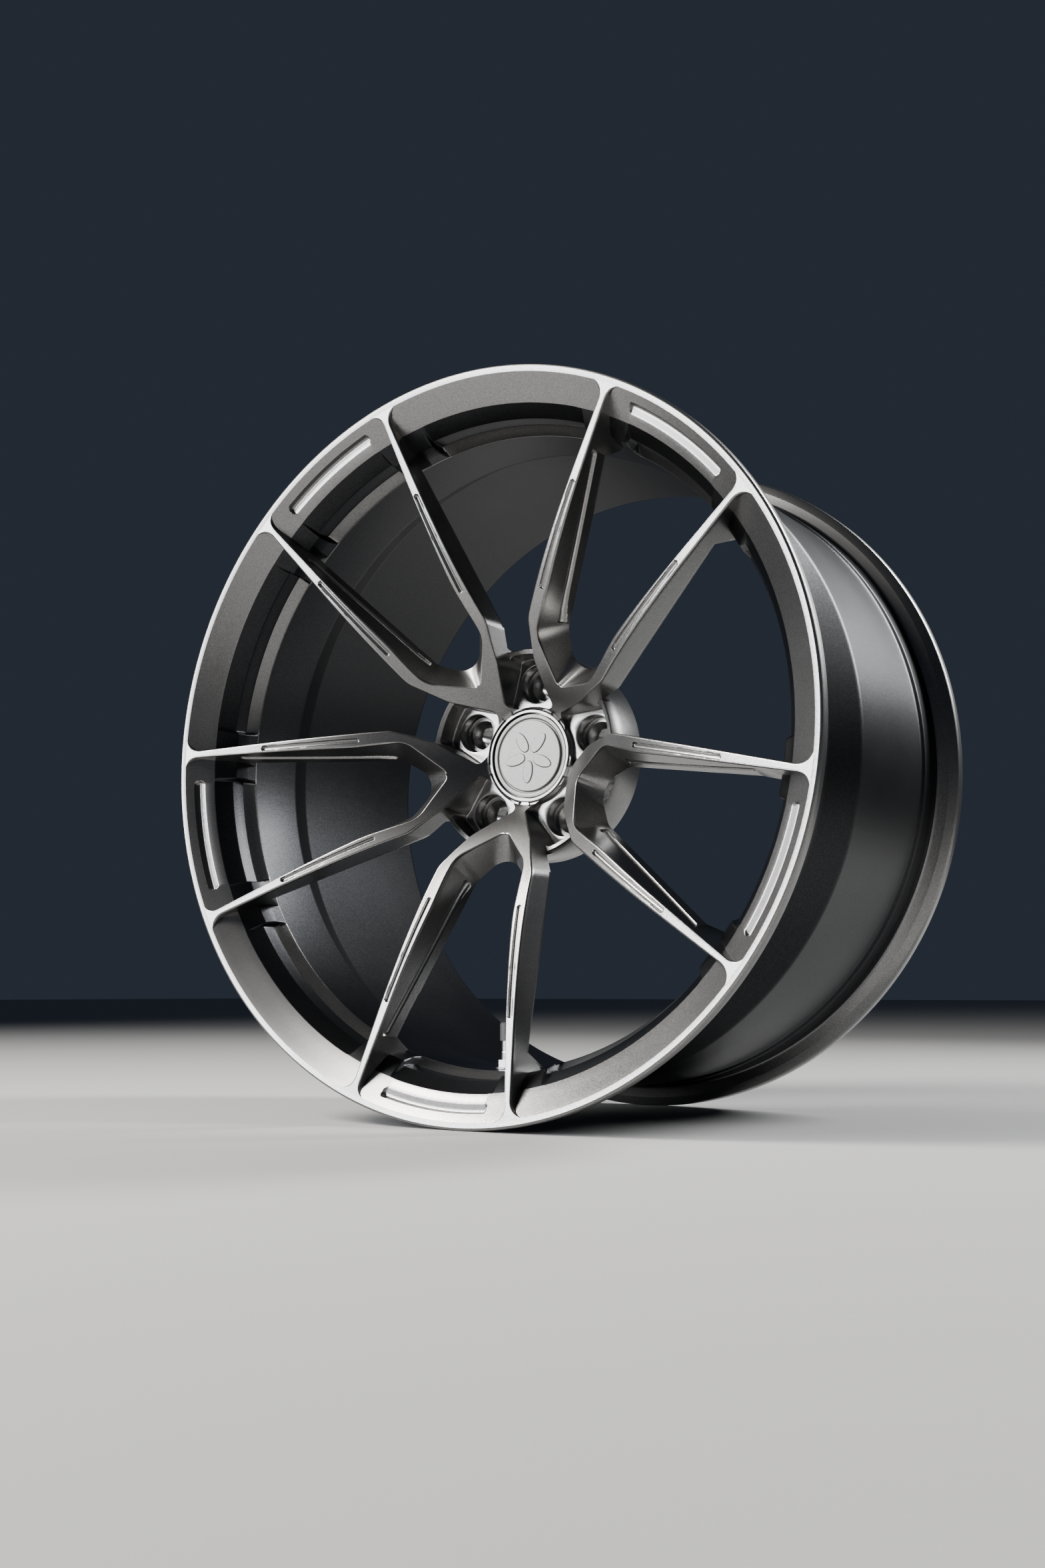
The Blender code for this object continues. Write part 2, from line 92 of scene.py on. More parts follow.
def surface_object(name, grids, body, material, sharp=32.0, weld=2e-6, seam=None):
    """A mesh object from (points, close_rows, close_columns) grids, welded, with its faces outward.
    seam marks points on a plane where two halves meet, and faces that lie in it are left out."""
    points, quads, start = [], [], 0
    for grid, close_rows, close_columns in grids:
        rows, columns = grid.shape[:2]
        points.append(grid.reshape(-1, 3))
        quads.append(grid_quads(rows, columns, close_rows, close_columns, start))
        start += rows * columns
    points, quads = np.concatenate(points), np.concatenate(quads)
    if seam is not None:
        quads = quads[~np.concatenate([s.ravel() for s in seam])[quads].all(axis=1)]
    mesh = bpy.data.meshes.new(name)
    mesh.vertices.add(len(points))
    mesh.vertices.foreach_set("co", points.astype(np.float32).ravel())
    mesh.loops.add(quads.size)
    mesh.loops.foreach_set("vertex_index", quads.astype(np.int32).ravel())
    mesh.polygons.add(len(quads))
    mesh.polygons.foreach_set("loop_start", np.arange(0, quads.size, 4, dtype=np.int32))
    mesh.update(calc_edges=True)
    solid = bmesh.new()
    solid.from_mesh(mesh)
    bmesh.ops.remove_doubles(solid, verts=solid.verts, dist=weld)
    bmesh.ops.recalc_face_normals(solid, faces=solid.faces)
    if solid.calc_volume(signed=True) < 0.0:
        bmesh.ops.reverse_faces(solid, faces=solid.faces)
    open_edges = sum(1 for e in solid.edges if not e.is_manifold)
    solid.to_mesh(mesh)
    solid.free()
    mesh.polygons.foreach_set("use_smooth", np.ones(len(mesh.polygons), bool))
    mesh.set_sharp_from_angle(angle=math.radians(sharp))
    mesh.materials.append(material)
    obj = bpy.data.objects.new(name, mesh)
    bpy.context.scene.collection.objects.link(obj)
    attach(obj, body)
    print(f"{name}: {len(mesh.vertices)} points, {len(mesh.polygons)} faces, {open_edges} open edges")
    return obj


def rounded_path(corners, steps=6):
    """Points along straight lines whose corners are rounded. Each corner is (u, v, radius), and the
    arc that replaces it touches both of its lines; it shrinks where a line is too short for it."""
    pts = [np.array(c[:2], float) for c in corners]
    path = [pts[0]]
    for i in range(1, len(pts) - 1):
        p, q, s = pts[i - 1], pts[i], pts[i + 1]
        a, b = (q - p) / np.linalg.norm(q - p), (s - q) / np.linalg.norm(s - q)
        turn = math.atan2(a[0] * b[1] - a[1] * b[0], a @ b)
        room = min(np.linalg.norm(line) * (0.48 if other[2] > 0 else 0.98)
                   for line, other in ((q - p, corners[i - 1]), (s - q, corners[i + 1])))
        half = math.tan(abs(turn) / 2)
        radius = min(corners[i][2], room / max(half, 1e-9))
        if radius < 0.02 or abs(turn) < 0.01:
            path.append(q)
            continue
        side = math.copysign(1.0, turn)
        first = q - a * radius * half
        centre = first + side * radius * np.array([-a[1], a[0]])
        angles = np.linspace(0.0, turn, steps + 1)
        arm = first - centre
        path.extend(centre + np.stack([arm[0] * np.cos(angles) - arm[1] * np.sin(angles),
                                       arm[0] * np.sin(angles) + arm[1] * np.cos(angles)], axis=1))
    path.append(pts[-1])
    return np.array(path)


def closed_profile(corners, steps=6):
    """A closed outline with rounded corners: the path is cut open in the middle of its first line."""
    middle = (*(np.array(corners[0][:2]) * 0.5 + np.array(corners[1][:2]) * 0.5), 0)
    return rounded_path([middle, *corners[1:], corners[0], middle], steps)[:-1]


def lathe(profile, angles):
    """The grid of a profile of (depth, radius) points carried round the axle."""
    a, depth = np.asarray(angles)[:, None], profile[None, :, 0]
    r = profile[None, :, 1]
    return to_world(r * np.sin(a), np.broadcast_to(depth, (len(a), profile.shape[0])), r * np.cos(a))


def smooth_step(x):
    """0 below 0, 1 above 1 and an S between, with flat ends."""
    x = np.clip(x, 0.0, 1.0)
    return x * x * (3.0 - 2.0 * x)


# %% [markdown]
# ## Finishes
#
# The forging is painted in a satin silver: fine aluminium flakes under a soft clear coat. Behind the
# sloped wall the barrel gets a much darker copy of it, which is painted shade. The flakes are cells of a
# Voronoi texture that tilt the surface a little and vary its brightness. The bare metal has fine turning
# marks, which are noise stretched round its axis. The rubber and the plastic get a grain. Three node
# groups hold these patterns, and each material decides what to do with them.

# %% Shader node groups


def new_group(name, inputs, outputs):
    """An empty shader node group with its sockets, as (group, group input, group output)."""
    group = bpy.data.node_groups.new(name, "ShaderNodeTree")
    for label, value in inputs:
        socket = group.interface.new_socket(name=label, in_out="INPUT", socket_type="NodeSocketFloat")
        socket.default_value = value
    for label, kind in outputs:
        group.interface.new_socket(name=label, in_out="OUTPUT", socket_type=kind)
    return group, group.nodes.new("NodeGroupInput"), group.nodes.new("NodeGroupOutput")


def make_flakes():
    """Metal flakes: random brightness per cell, and a normal tilted at random per cell."""
    group, given, out = new_group("metal_flakes", [("Scale", 1500.0), ("Tilt", 0.1)],
                                  [("Sparkle", "NodeSocketFloat"), ("Normal", "NodeSocketVector")])
    nodes, link = group.nodes, group.links.new
    place = nodes.new("ShaderNodeTexCoord")
    cells = nodes.new("ShaderNodeTexVoronoi")
    link(place.outputs["Object"], cells.inputs["Vector"])
    link(given.outputs["Scale"], cells.inputs["Scale"])
    centred = nodes.new("ShaderNodeVectorMath")
    centred.operation = "SUBTRACT"
    centred.inputs[1].default_value = (0.5, 0.5, 0.5)
    link(cells.outputs["Color"], centred.inputs[0])
    tilted = nodes.new("ShaderNodeVectorMath")
    tilted.operation = "SCALE"
    link(centred.outputs[0], tilted.inputs[0])
    link(given.outputs["Tilt"], tilted.inputs["Scale"])
    normal = nodes.new("ShaderNodeNewGeometry")
    total = nodes.new("ShaderNodeVectorMath")
    total.operation = "ADD"
    link(normal.outputs["Normal"], total.inputs[0])
    link(tilted.outputs[0], total.inputs[1])
    unit = nodes.new("ShaderNodeVectorMath")
    unit.operation = "NORMALIZE"
    link(total.outputs[0], unit.inputs[0])
    split = nodes.new("ShaderNodeSeparateColor")
    link(cells.outputs["Color"], split.inputs["Color"])
    link(split.outputs["Red"], out.inputs["Sparkle"])
    link(unit.outputs[0], out.inputs["Normal"])
    return group


def make_turning():
    """Turning marks: noise that changes quickly with the radius and hardly round the axle."""
    group, given, out = new_group("turning_marks", [("Pitch", 900.0)], [("Marks", "NodeSocketFloat")])
    nodes, link = group.nodes, group.links.new
    place = nodes.new("ShaderNodeTexCoord")
    flat = nodes.new("ShaderNodeVectorMath")
    flat.operation = "MULTIPLY"
    flat.inputs[1].default_value = (1.0, 0.0, 1.0)
    link(place.outputs["Object"], flat.inputs[0])
    radius = nodes.new("ShaderNodeVectorMath")
    radius.operation = "LENGTH"
    link(flat.outputs[0], radius.inputs[0])
    marks = nodes.new("ShaderNodeTexNoise")
    marks.noise_dimensions = "1D"
    marks.inputs["Detail"].default_value = 2.0
    link(radius.outputs["Value"], marks.inputs["W"])
    link(given.outputs["Pitch"], marks.inputs["Scale"])
    link(marks.outputs["Fac"], out.inputs["Marks"])
    return group


def make_grain():
    """Fine grain and slow patches, both from noise in the object's own space."""
    group, given, out = new_group("grain", [("Fine", 1200.0), ("Coarse", 18.0)],
                                  [("Grain", "NodeSocketFloat"), ("Patches", "NodeSocketFloat")])
    nodes, link = group.nodes, group.links.new
    place = nodes.new("ShaderNodeTexCoord")
    for label, socket in (("Fine", "Grain"), ("Coarse", "Patches")):
        noise = nodes.new("ShaderNodeTexNoise")
        noise.inputs["Detail"].default_value = 3.0
        link(place.outputs["Object"], noise.inputs["Vector"])
        link(given.outputs[label], noise.inputs["Scale"])
        link(noise.outputs["Fac"], out.inputs[socket])
    return group


FLAKES, TURNING, GRAIN = make_flakes(), make_turning(), make_grain()
print("node groups:", FLAKES.name, TURNING.name, GRAIN.name)

# %% Materials


def material_with(name):
    """A new node material, as (material, its tree, its Principled shader)."""
    material = bpy.data.materials.new(name)
    material.use_nodes = True
    return material, material.node_tree, material.node_tree.nodes["Principled BSDF"]


def group_node(tree, group, **settings):
    """A group in a material's tree, with constants set on its sockets."""
    node = tree.nodes.new("ShaderNodeGroup")
    node.node_tree = group
    for label, value in settings.items():
        node.inputs[label].default_value = value
    return node


def ranged(tree, source, low, high, to_low, to_high):
    """A value carried from one range to another."""
    node = tree.nodes.new("ShaderNodeMapRange")
    for label, value in (("From Min", low), ("From Max", high), ("To Min", to_low), ("To Max", to_high)):
        node.inputs[label].default_value = value
    tree.links.new(source, node.inputs["Value"])
    return node.outputs["Result"]


def blend_colours(tree, factor, one, two):
    """Two colours mixed by a factor."""
    mix = tree.nodes.new("ShaderNodeMix")
    mix.data_type = "RGBA"
    mix.inputs["A"].default_value = (*one, 1.0)
    mix.inputs["B"].default_value = (*two, 1.0)
    tree.links.new(factor, mix.inputs["Factor"])
    return mix.outputs["Result"]


def flake_paint(name, dark, light, metallic, roughness, coat, tilt):
    """Silver paint: flakes set brightness and tilt, patches vary the roughness, and a coat lies over."""
    material, tree, shader = material_with(name)
    flakes = group_node(tree, FLAKES, Scale=2200.0, Tilt=tilt)
    grain = group_node(tree, GRAIN, Coarse=9.0)
    sparkle = ranged(tree, flakes.outputs["Sparkle"], 0.0, 1.0, 0.0, 1.0)
    tree.links.new(blend_colours(tree, sparkle, dark, light), shader.inputs["Base Color"])
    tree.links.new(ranged(tree, grain.outputs["Patches"], 0.3, 0.7, roughness - 0.02, roughness + 0.03),
                   shader.inputs["Roughness"])
    tree.links.new(flakes.outputs["Normal"], shader.inputs["Normal"])
    shader.inputs["Metallic"].default_value = metallic
    shader.inputs["Coat Weight"].default_value = coat
    shader.inputs["Coat Roughness"].default_value = 0.22
    return material


def bare_metal(name, dark, light, roughness, pitch):
    """Machined metal: turning marks in the colour, the roughness and a shallow bump."""
    material, tree, shader = material_with(name)
    turning = group_node(tree, TURNING, Pitch=pitch)
    marks = turning.outputs["Marks"]
    tree.links.new(blend_colours(tree, marks, dark, light), shader.inputs["Base Color"])
    tree.links.new(ranged(tree, marks, 0.2, 0.8, roughness - 0.05, roughness + 0.08),
                   shader.inputs["Roughness"])
    bump = tree.nodes.new("ShaderNodeBump")
    bump.inputs["Strength"].default_value = 0.08
    bump.inputs["Distance"].default_value = 0.0002
    tree.links.new(marks, bump.inputs["Height"])
    tree.links.new(bump.outputs["Normal"], shader.inputs["Normal"])
    shader.inputs["Metallic"].default_value = 1.0
    return material


def moulded(name, dark, light, roughness, strength):
    """Plastic or rubber: a fine grain in a bump, and patches in the colour and the roughness."""
    material, tree, shader = material_with(name)
    grain = group_node(tree, GRAIN, Fine=1500.0, Coarse=40.0)
    tree.links.new(blend_colours(tree, grain.outputs["Patches"], dark, light), shader.inputs["Base Color"])
    tree.links.new(ranged(tree, grain.outputs["Patches"], 0.3, 0.7, roughness - 0.05, roughness + 0.05),
                   shader.inputs["Roughness"])
    bump = tree.nodes.new("ShaderNodeBump")
    bump.inputs["Strength"].default_value = strength
    bump.inputs["Distance"].default_value = 0.0001
    tree.links.new(grain.outputs["Grain"], bump.inputs["Height"])
    tree.links.new(bump.outputs["Normal"], shader.inputs["Normal"])
    return material


SATIN = flake_paint("satin_silver", (0.15, 0.15, 0.15), (0.25, 0.247, 0.242), 1.0, 0.30, 0.3, 0.045)
# A near-black copy of the satin silver: painted shade for the barrel behind the sloped wall.
SHADOW_SATIN = flake_paint("barrel_painted_shade", (0.016, 0.017, 0.019), (0.034, 0.035, 0.037), 1.0, 0.34, 0.05,
                           0.045)
CAP_SATIN = flake_paint("cap_silver", (0.115, 0.115, 0.113), (0.18, 0.178, 0.172), 0.8, 0.42, 0.1, 0.05)
BARE = bare_metal("machined_aluminium", (0.55, 0.55, 0.56), (0.78, 0.78, 0.79), 0.28, 2500.0)
NYLON = moulded("ring_plastic", (0.030, 0.030, 0.033), (0.055, 0.055, 0.06), 0.5, 0.3)
STEEL = bare_metal("spring_steel", (0.42, 0.42, 0.44), (0.60, 0.60, 0.62), 0.25, 4000.0)
BRASS = bare_metal("brass", (0.55, 0.38, 0.16), (0.80, 0.62, 0.30), 0.28, 5000.0)
RUBBER = moulded("rubber", (0.012, 0.012, 0.012), (0.03, 0.03, 0.03), 0.7, 0.5)

# %% [markdown]
# ## The barrel
#
# A forged barrel is spun from a ring of aluminium and turned on a lathe, so one outline carried round
# the axle gives all of it: the lip and the sloped wall inside it, an undercut, the drop well that lets
# a tyre slip over the lip, two bead seats with their flanges. In the five windows between a spoke's
# arms the sloped wall has a milled recess with round ends, and at each arm's foot the undercut is filled.
# Both are displacements of the same grid, and the grid is finer where they end. Behind the sloped wall
# the paint is darkened as painted shade, except on the undercut's rear ledge and on the rear flange.

# %% Barrel
CONE_TOP, CONE_FOOT = (0.9, 267.9), (14.0, 249.3)      # depth and radius at the sloped wall's two ends
RECESS_FLOOR = 9.8                                     # depth of the recess's floor
RECESS_WALL, RECESS_FILLET = 262.4, 2.4                # radius of the recess's outer wall, and its fillet
RECESS_MID_R, RECESS_HALF = 258.9, 3.9                 # the recess's middle line and half its width
RECESS_ARC_R = 258.0                                   # radius at which the recess's length is measured
RECESS_TURN = 10.0                                     # degrees from the spoke's axis to the recess's end
FOOT_FROM, FOOT_TO = 10.3, 19.5                        # degrees between which an arm's foot stands
FOOT_BEND, FOOT_EDGE = 0.9, 0.45                       # degrees that a foot widens at its ends, and its edge
BARREL_WALL = [(47.0, 234.5), (38.3, 240.6), (27.1, 241.4), (14.0, 249.3)]   # the undercut, front last


def barrel_profile():
    """The barrel's closed outline as (depth, radius), from the sloped wall over the lip to the rear and
    back, with extra points on the sloped wall where the recess is."""
    path = closed_profile([
        (*CONE_FOOT, 1.5), (*CONE_TOP, 1.2), (0.0, 271.6, 0.5), (0.6, 273.1, 0.9), (2.8, 273.7, 1.2),
        (8.0, 273.7, 1.0), (10.6, 272.8, 1.5), (13.2, 266.5, 2.5), (13.4, 262.0, 3.0), (14.8, 258.6, 2.5),
        (20.0, 256.4, 6.0), (35.0, 255.6, 6.0), (48.0, 240.5, 8.0), (53.0, 238.5, 6.0),
        (96.0, 238.5, 10.0), (124.0, 254.2, 10.0), (250.7, 254.2, 4.0), (254.2, 257.0, 3.0),
        (258.2, 255.6, 4.0), (272.7, 256.4, 6.0), (277.9, 258.6, 2.5), (279.5, 266.5, 2.5),
        (282.1, 272.8, 1.5), (284.7, 273.7, 1.2), (291.3, 273.7, 1.0), (292.7, 272.3, 0.9),
        (292.7, 266.0, 1.6), (289.7, 262.5, 4.0), (279.7, 252.2, 5.0), (126.0, 250.2, 10.0),
        (97.0, 234.5, 10.0), (47.0, 234.5, 4.0), (42.0, 238.0, 0.0), (38.3, 240.6, 2.0),
        (33.0, 241.0, 0.0), (27.1, 241.4, 2.5), (21.0, 245.0, 0.0),
    ], 3)
    r = np.array([255.0, 255.9, 256.3, 257.0, 258.0, 259.0, 260.0, 260.6, 261.2, 261.7, 262.05, 262.25,
                  262.36, 262.44, 262.9, 264.0])
    return np.concatenate([np.stack([wall_depth_at(r), r], axis=1), path[1:]])


def wall_depth_at(r):
    """Depth of the sloped wall at a radius."""
    return np.interp(r, [CONE_FOOT[1], CONE_TOP[1]], [CONE_FOOT[0], CONE_TOP[0]])


def barrel_angles():
    """Angles round the barrel: one each 1.2 degrees, and finer where a recess or a foot ends."""
    near = np.concatenate([np.arange(8.35, 11.0, 0.15), np.arange(19.1, 20.8, 0.15)])
    fine = np.concatenate([PHASE + PITCH * k + side * near
                           for k in range(SPOKES) for side in (-1, 1)]) % 360.0
    coarse = np.arange(0.0, 360.0, 1.2)
    far = np.abs((coarse[:, None] - fine[None] + 180.0) % 360.0 - 180.0).min(axis=1) > 0.3
    kept = coarse[far | (coarse % 90.0 == 0.0)]        # the four quarters stay, so the size is exact
    return np.radians(np.unique(np.round(np.concatenate([kept, fine]), 3)))


def recess_push(depth, r, turn):
    """How far back the sloped wall moves in a recess: to a level floor with a fillet at its outer wall,
    and with round ends. turn is the angle to the nearest spoke's axis."""
    in_wall = (depth < CONE_FOOT[0]) & (np.abs(depth - wall_depth_at(r)) < 0.02) & (r < RECESS_WALL)
    past = np.maximum(r - (RECESS_WALL - RECESS_FILLET), 0.0)
    rise = RECESS_FILLET - np.sqrt(np.clip(RECESS_FILLET ** 2 - past ** 2, 0.0, None))
    push = np.where(in_wall, np.maximum(RECESS_FLOOR - rise - depth, 0.0), 0.0)
    across = np.clip((r - RECESS_MID_R) / RECESS_HALF, -1.0, 1.0)
    reach = math.radians(RECESS_TURN) * RECESS_ARC_R - RECESS_HALF + RECESS_HALF * np.sqrt(1.0 - across ** 2)
    return push * smooth_step((reach - turn * RECESS_ARC_R) / 1.1)


def radius_with_feet(depth, r, turn):
    """The radius with the undercut filled where an arm's foot stands. The fill's ends are rounded."""
    foot_r = np.interp(depth, [14.0, 20.0, 27.0, 36.0, 47.0], [249.3, 242.6, 237.6, 235.3, 234.5])
    middle, half_turn = math.radians((FOOT_FROM + FOOT_TO) / 2), math.radians((FOOT_TO - FOOT_FROM) / 2)
    round_end = 1.0 - np.sqrt(np.clip(1.0 - ((depth - 30.5) / 16.6) ** 2, 0.0, 1.0))
    inside = half_turn + math.radians(FOOT_BEND) * round_end - np.abs(turn - middle)
    weight = smooth_step(inside / math.radians(FOOT_EDGE) + 0.5)
    in_undercut = ((depth > 14.0) & (depth < 47.0)
                   & (r < np.interp(depth, [14.0, 27.0, 38.0, 47.0], [250.0, 243.0, 242.5, 236.5])))
    return np.where(in_undercut, np.minimum(r, r + (foot_r - r) * weight), r)


def in_painted_shade(mesh):
    """Which faces of the barrel get painted shade: all behind the sloped wall, except the undercut's rear
    ledge and the rear flange."""
    centre = np.empty(3 * len(mesh.polygons))
    mesh.polygons.foreach_get("center", centre)
    x, y, z = centre.reshape(-1, 3).T / MM
    depth, r = y + FACE_DEPTH, np.hypot(x, z)
    outside = (depth > 8.0) & (r > np.interp(depth, [8.0, 13.0, 14.5, 46.0], [270.0, 259.0, 253.0, 238.5]))
    ledge = ((depth > 38.4) & (depth < 47.2)
             & (r > np.interp(depth, [38.3, 42.0, 47.0], [240.3, 237.7, 234.2])))
    rear_flange = (depth > 277.0) & (r > 257.0)
    inside = (depth > 14.4) & ~ledge
    return (outside | inside) & ~rear_flange


def make_barrel():
    """The lathe grid with its recesses and feet, in the satin silver and a darker copy of it that is painted
    shade.
    """
    profile, angles = barrel_profile(), barrel_angles()
    depth = np.broadcast_to(profile[None, :, 0], (len(angles), len(profile)))
    r = np.broadcast_to(profile[None, :, 1], depth.shape)
    axis = np.radians(PHASE + PITCH * np.arange(SPOKES))
    turn = np.abs((angles[:, None] - axis[None] + math.pi) % (2 * math.pi) - math.pi).min(axis=1)[:, None]
    new_depth, new_r = depth + recess_push(depth, r, turn), radius_with_feet(depth, r, turn)
    a = angles[:, None]
    grid = to_world(new_r * np.sin(a), new_depth, new_r * np.cos(a))
    barrel = surface_object("barrel", [(grid, True, True)], "wheel", SATIN, sharp=50.0)
    barrel.data.materials.append(SHADOW_SATIN)
    # Faces behind the sloped wall take the darker copy of the satin silver: painted shade, not a second paint.
    barrel.data.polygons.foreach_set("material_index", in_painted_shade(barrel.data).astype(np.int32))
    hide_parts("outer_rim", "drop_well", "inner_rim")


make_barrel()

# %% [markdown]
# ## The spokes
#
# Each spoke is a Y. Its trunk leaves the ring round the cap, forks, and both arms run out to the lip,
# where they widen into it with small fillets. The front follows a hyperbola of the radius, steep at
# the hub and flat at the lip, so light slides along it. A ball-nosed cutter leaves a thin slot along
# the front of each arm and a broader groove in the wall that faces the window.
#
# The surface is a grid. Stations run from the tip of the left arm through the fork to the tip of the
# right one, and the columns go round the section: the window's wall, the rounded edge, the front, the
# other edge, the outer wall and the back. The columns crowd together at the slot and the groove, so
# their rims stay crisp.

# %% Spoke outlines
FORK_Z, FORK_BACK_Z, TRUNK_Z = 62.3, 82.3, 34.2     # the fork's front and back, and the trunk's end
INNER_EDGE = rounded_path([(0.0, FORK_Z, 0), (2.95, FORK_Z, 9.0), (30.9, 83.2, 15), (35.2, 121.0, 150),
                           (64.6, 260.3, 11.0), (49.5, 264.3, 0)], 12)
OUTER_EDGE = rounded_path([(14.0, 34.2, 0), (6.3, 39.5, 6), (5.25, 43.2, 6), (25.6, 63.6, 25),
                           (41.6, 89.4, 18), (47.4, 126.0, 200), (69.3, 258.7, 12.0), (84.5, 255.2, 0)], 12)
INNER_BACK = rounded_path([(0.0, FORK_BACK_Z, 0), (7.4, FORK_BACK_Z, 19.0), (22.5, 99.0, 14),
                           (64.5, 270.0, 0)], 10)
# Radii on the outer edge, and on the back's inner edge, that face a radius on the inner edge.
PAIRS = [(62.3, 46.0), (64.0, 47.5), (67.0, 49.5), (72.0, 53.0), (78.5, 60.5), (85.0, 68.5), (89.5, 77.0),
         (95.0, 87.0), (101.0, 97.5), (112.0, 111.0), (128.0, 128.0)]
BACK_PAIRS = [(62.3, 82.3), (64.0, 83.7), (67.0, 86.0), (72.0, 90.0), (78.5, 94.5), (85.0, 98.5),
              (95.0, 104.5), (101.0, 108.0), (112.0, 115.0), (128.0, 128.0)]
FAR_R = 128.0                                       # from here outward the edges face each other
SLOT_FROM, SLOT_TO = np.array([39.7, 115.9]), np.array([53.4, 190.3])
SLOT_HALF, SLOT_DEEP = 1.95, 2.2
GROOVE_R, GROOVE_AT = (96.5, 223.7), (64.6, 15.9)   # radius and depth at the groove's two ends
GROOVE_HALF, GROOVE_DEEP = 2.9, 1.9
EDGE_ROUND, BACK_ROUND, THINNEST = 1.5, 0.8, 0.4    # the front's edges, the back's bulge, the tip


def face_depth(r):
    """Depth of the front: a hyperbola of the radius that runs out level at the ring round the cap and dips
    into it, and comes forward a little to meet the lip."""
    slope = 16500.0 / (r + 81.0) - 45.5
    level = RING_DEPTH - 0.05
    joined = slope - 0.5 * (slope - level + np.sqrt((slope - level) ** 2 + 0.16))
    return joined - 0.98 * smooth_step((r - 215.0) / 50.0) + 1.6 * smooth_step((36.6 - r) / 1.8)


def back_depth(r):
    """Depth of the back: a cone, then the barrel's inner wall with a little overlap, so the foot joins it.
    At the hub's edge it turns down with a fillet, and inside the hub it lies below the pockets' floor."""
    cone = 68.3 - 0.358 * (r - 112.7)
    wall_r = [224.0, *(radius + 0.6 for depth, radius in BARREL_WALL), 268.9]
    wall_d = [28.45, *(depth + 1.0 for depth, radius in BARREL_WALL), 3.8]
    out = np.where(r < 224.0, cone, np.interp(r, wall_r, wall_d))
    return out + (99.3 - out) * smooth_step((82.5 - r) / 4.5)


def arc_lengths(path):
    """Distance along a path at each of its points."""
    return np.concatenate([[0.0], np.cumsum(np.linalg.norm(np.diff(path, axis=0), axis=1))])


def path_at(path, lengths):
    """Points at given distances along a path. A negative distance runs down the spoke's own axis."""
    at = arc_lengths(path)
    return np.stack([np.interp(lengths, at, path[:, 0]),
                     np.interp(lengths, at, path[:, 1]) + np.minimum(lengths, 0.0)], axis=1)


def length_at_radius(path, radii, upto):
    """Distances along a path where its radius first reaches the given values, up to one of its points."""
    r = np.hypot(path[:upto, 0], path[:upto, 1])
    return np.interp(radii, np.maximum.accumulate(r) + 1e-9 * np.arange(len(r)), arc_lengths(path)[:upto])


def station_lengths():
    """Where each station of the right arm lies along the inner edge, the outer edge and the back's inner
    edge."""
    tip_inner, tip_outer = len(INNER_EDGE) - 14, len(OUTER_EDGE) - 14
    ends = [float(np.hypot(*SLOT_FROM)), float(np.hypot(*SLOT_TO)), *GROOVE_R]
    fine = np.concatenate([np.arange(e - 3.2, e + 3.2, 0.4) for e in ends])
    radii = np.unique(np.concatenate([FORK_Z + 5.7 * np.linspace(0.0, 1.0, 12) ** 1.6,
                                      np.linspace(68.6, FAR_R, 66), np.linspace(129.5, 254.0, 60), fine]))
    outer_r = np.where(radii < FAR_R, np.interp(radii, *zip(*PAIRS)), radii)
    back_r = np.where(radii < FAR_R, np.interp(radii, *zip(*BACK_PAIRS)), radii)
    inner = length_at_radius(INNER_EDGE, radii, tip_inner + 1)
    outer = length_at_radius(OUTER_EDGE, outer_r, tip_outer + 1)
    back = length_at_radius(INNER_BACK, back_r, len(INNER_BACK))
    trunk = np.linspace(-1.0, 0.0, 25)[:-1]     # on the trunk the inner edges run down the spoke's own axis
    inner = np.concatenate([trunk * (FORK_Z - TRUNK_Z), inner])
    outer = np.concatenate([(1.0 + trunk) * outer[0], outer])
    back = np.concatenate([trunk * (FORK_BACK_Z - TRUNK_Z), back])
    tip = np.linspace(0.0, 1.0, 42)[1:]
    inner = np.concatenate([inner, inner[-1] + (arc_lengths(INNER_EDGE)[-1] - inner[-1]) * tip])
    outer = np.concatenate([outer, outer[-1] + (arc_lengths(OUTER_EDGE)[-1] - outer[-1]) * tip])
    back_end = length_at_radius(INNER_BACK, np.array([268.4]), len(INNER_BACK))[0]
    back = np.concatenate([back, back[-1] + (back_end - back[-1]) * tip])
    return inner, outer, back


def distance_to_segment(x, z, a, b):
    """Distance in plan from points to a segment."""
    d = b - a
    t = np.clip(((x - a[0]) * d[0] + (z - a[1]) * d[1]) / (d @ d), 0.0, 1.0)
    return np.hypot(x - a[0] - t * d[0], z - a[1] - t * d[1])


# %% Spoke surface


